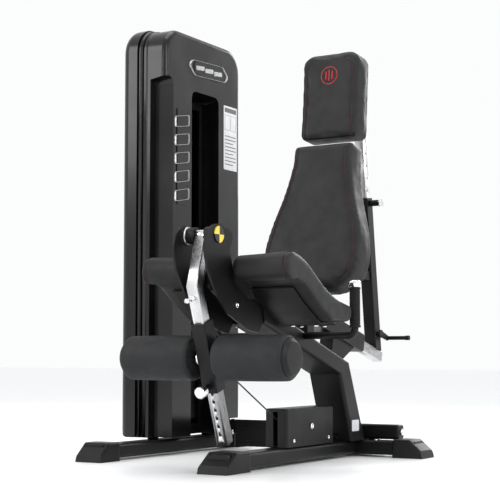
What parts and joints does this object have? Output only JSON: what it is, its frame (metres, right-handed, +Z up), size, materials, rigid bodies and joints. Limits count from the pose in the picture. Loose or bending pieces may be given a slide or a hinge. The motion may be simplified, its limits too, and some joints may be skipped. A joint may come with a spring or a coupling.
{
  "type": "leg extension machine",
  "caption": "Seated leg extension machine: a swinging roller lever, padded seat and sliding backrest joined by cable to a shrouded weight stack.",
  "frame": {"origin": "on the floor under the middle of the machine's bounding box", "axes": "+Z up, the user sits facing -Y, the weight stack is on the -X side"},
  "size_m": [1.097, 1.419, 1.68],
  "materials": {
    "satin_black": "satin powder coat",
    "gloss_black": "gloss",
    "moulded_black": "moulded",
    "badge": "embossed",
    "sign": "printed",
    "marker": "satin",
    "vinyl": "grained",
    "foam": "closed-cell skin",
    "grip_rubber": "matte",
    "chrome": "polished",
    "brushed": "brushed",
    "bearing_steel": "turned",
    "cast_iron": "painted",
    "cable": "sheathed",
    "pulley_nylon": "moulded"
  },
  "bodies": {
    "root": {"floor_bars": "satin_black", "foot_caps": "moulded_black", "cross_tube": "satin_black", "cross_covers": "moulded_black", "main_beam": "satin_black", "strut": "satin_black", "outer_shroud": "gloss_black", "shroud_hoops": "gloss_black", "inner_shroud": "gloss_black", "shroud_badges": "badge", "sign_plates": "sign", "tower_frame": "satin_black", "guide_rods": "chrome", "stack_bumpers": "grip_rubber", "resting_plates": "cast_iron", "pivot_plates": "satin_black", "knee_bearings": "bearing_steel", "pivot_marker": "marker", "seat_cushion": "vinyl", "seat_pan": "satin_black", "handlebars": "satin_black", "hand_grips": "grip_rubber", "grip_caps": "chrome", "slide_housing": "satin_black", "pulley_box": "moulded_black", "pulley_brackets": "satin_black", "cable_run": "cable", "stack_cable": "cable", "lever_cable": "cable", "frame_bolts": "chrome"},
    "lever": {"lever_arm": "brushed", "knee_shaft": "chrome", "lever_fittings": "satin_black", "start_peg": "chrome"},
    "roller_carriage": {"roller_sleeve": "satin_black", "sleeve_liner": "moulded_black", "roller_axles": "chrome"},
    "right_roller": {"right_roller_foam": "foam", "right_roller_cap": "moulded_black"},
    "left_roller": {"left_roller_foam": "foam", "left_roller_cap": "moulded_black"},
    "carriage_pin": {"carriage_pin_knob": "chrome"},
    "backrest": {"slide_tube": "brushed", "backrest_post": "satin_black", "pad_frame": "satin_black", "backrest_pad": "vinyl"},
    "slide_lever": {"slide_lever": "satin_black"},
    "headrest": {"headrest_tube": "brushed", "headrest_bracket": "satin_black", "headrest_pad": "vinyl"},
    "headrest_pin": {"headrest_pin": "chrome"},
    "stack": {"lifted_plates": "cast_iron", "head_plate": "cast_iron", "selector_stem": "chrome"},
    "selector": {"selector_pin": "chrome"},
    "box_pulley": {"box_pulley": "pulley_nylon"},
    "corner_pulley": {"corner_pulley": "pulley_nylon"},
    "tower_low_pulley": {"tower_low_pulley": "pulley_nylon"},
    "top_rear_pulley": {"top_rear_pulley": "pulley_nylon"},
    "top_front_pulley": {"top_front_pulley": "pulley_nylon"}
  },
  "joints": [
    {"name": "lever_pivot", "type": "hinge", "parent": "root", "child": "lever", "pos_m": [0.2265, -0.6178, 0.767], "axis": [-1, 0, 0], "range_deg": [0, 100], "deforming": ["lever_cable"]},
    {"name": "roller_carriage_slide", "type": "slide", "parent": "lever", "child": "roller_carriage", "axis": [0, 0.342, -0.9397], "range_m": [0, 0.114]},
    {"name": "right_roller_spin", "type": "hinge", "parent": "roller_carriage", "child": "right_roller", "pos_m": [0.4015, -0.5778, 0.374], "axis": [1, 0, 0], "continuous": true},
    {"name": "left_roller_spin", "type": "hinge", "parent": "roller_carriage", "child": "left_roller", "pos_m": [0.0515, -0.5778, 0.374], "axis": [1, 0, 0], "continuous": true},
    {"name": "carriage_pin_pull", "type": "slide", "parent": "roller_carriage", "child": "carriage_pin", "axis": [0, -0.9397, -0.342], "range_m": [0, 0.012], "stiffness_N_per_m": 1500, "springref_m": -0.004},
    {"name": "backrest_slide", "type": "slide", "parent": "root", "child": "backrest", "axis": [0, -0.9659, 0.2588], "range_m": [-0.05, 0.09]},
    {"name": "slide_lever_lift", "type": "hinge", "parent": "backrest", "child": "slide_lever", "pos_m": [0.2645, 0.63554, 0.46978], "axis": [1, 0, 0], "range_deg": [0, 25], "stiffness_Nm_per_rad": 3, "springref_deg": -11.46},
    {"name": "headrest_slide", "type": "slide", "parent": "backrest", "child": "headrest", "axis": [0, -0.1219, 0.9925], "range_m": [0, 0.15]},
    {"name": "headrest_pin_pull", "type": "slide", "parent": "backrest", "child": "headrest_pin", "axis": [1, 0, 0], "range_m": [0, 0.012], "stiffness_N_per_m": 1500, "springref_m": -0.004},
    {"name": "stack_lift", "type": "slide", "parent": "root", "child": "stack", "axis": [0, 0, 1], "range_m": [0, 0.64], "deforming": ["stack_cable"]},
    {"name": "selector_pull", "type": "slide", "parent": "stack", "child": "selector", "axis": [1, 0, 0], "range_m": [0, 0.085]},
    {"name": "box_pulley_turn", "type": "hinge", "parent": "root", "child": "box_pulley", "pos_m": [0.2265, 0.0322, 0.13], "axis": [1, 0, 0], "range_deg": [-723, 0]},
    {"name": "corner_pulley_turn", "type": "hinge", "parent": "root", "child": "corner_pulley", "pos_m": [0.1885, 0.4502, 0.0792], "axis": [0, 0, 1], "range_deg": [-965, 0]},
    {"name": "tower_low_pulley_turn", "type": "hinge", "parent": "root", "child": "tower_low_pulley", "pos_m": [-0.4405, 0.4882, 0.1192], "axis": [0, 1, 0], "range_deg": [-917, 0]},
    {"name": "top_rear_pulley_turn", "type": "hinge", "parent": "root", "child": "top_rear_pulley", "pos_m": [-0.4805, 0.4432, 1.59], "axis": [1, 0, 0], "range_deg": [-815, 0]},
    {"name": "top_front_pulley_turn", "type": "hinge", "parent": "root", "child": "top_front_pulley", "pos_m": [-0.4805, 0.3042, 1.59], "axis": [1, 0, 0], "range_deg": [-815, 0]}
  ],
  "couplings": [
    {"joint": "stack_lift", "follows": "lever_pivot", "m_per_rad": 0.3645},
    {"joint": "box_pulley_turn", "follows": "lever_pivot", "ratio": -7.1752},
    {"joint": "corner_pulley_turn", "follows": "lever_pivot", "ratio": -9.5921},
    {"joint": "tower_low_pulley_turn", "follows": "lever_pivot", "ratio": -9.1125},
    {"joint": "top_rear_pulley_turn", "follows": "lever_pivot", "ratio": -8.1},
    {"joint": "top_front_pulley_turn", "follows": "lever_pivot", "ratio": -8.1}
  ]
}
